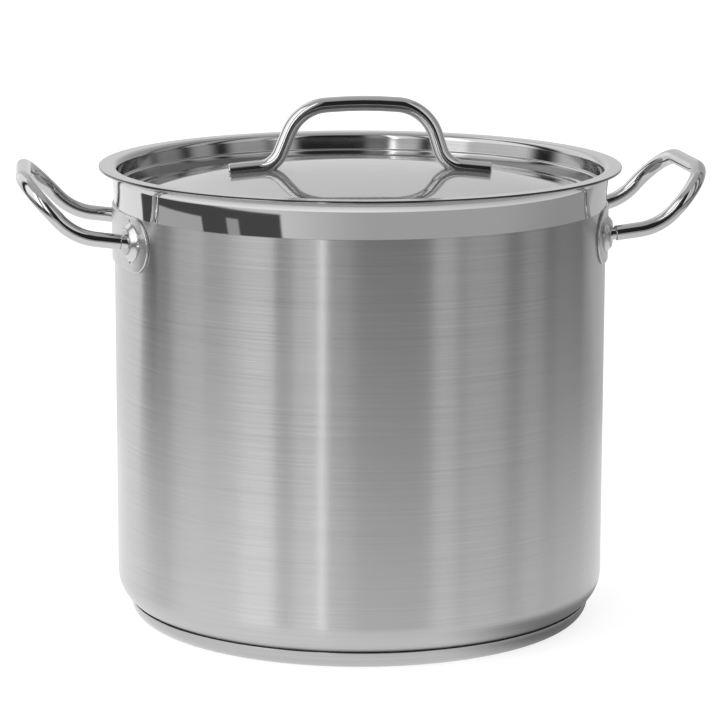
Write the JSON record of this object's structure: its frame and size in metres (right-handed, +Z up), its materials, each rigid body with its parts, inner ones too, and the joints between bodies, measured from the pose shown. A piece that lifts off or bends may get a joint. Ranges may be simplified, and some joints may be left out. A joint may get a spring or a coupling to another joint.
{
  "type": "stock pot with lid",
  "caption": "Tall round stainless steel stock pot with a flared rim, sandwich base, looped side handles on welded plates and a recessed lift-off lid with a bent-rod handle.",
  "frame": {"origin": "centre of the flat underside of the base", "axes": "+Z up along the pot's axis, X along the line of the two side handles, each of which sits 1.6 degrees to its +Y side"},
  "size_m": [0.4194, 0.3184, 0.3206],
  "materials": {
    "body_steel": "fine brushing around the wall, polished band under the rim",
    "base_steel": "satin",
    "core_aluminium": "plain turned",
    "polished_steel": "mirror polished",
    "lid_steel": "polished panel, satin flange and brushed well"
  },
  "bodies": {
    "pot": {"pot_shell": "body_steel", "base_capsule": "base_steel", "base_core": "core_aluminium", "handle_plate_right": "polished_steel", "handle_plate_left": "polished_steel", "side_handle_right": "polished_steel", "side_handle_left": "polished_steel"},
    "lid": {"lid_panel": "lid_steel", "lid_handle": "polished_steel"}
  },
  "joints": [
    {"name": "lid_lift", "type": "slide", "parent": "pot", "child": "lid", "axis": [0, 0, 1], "range_m": [0, 0.15]}
  ]
}
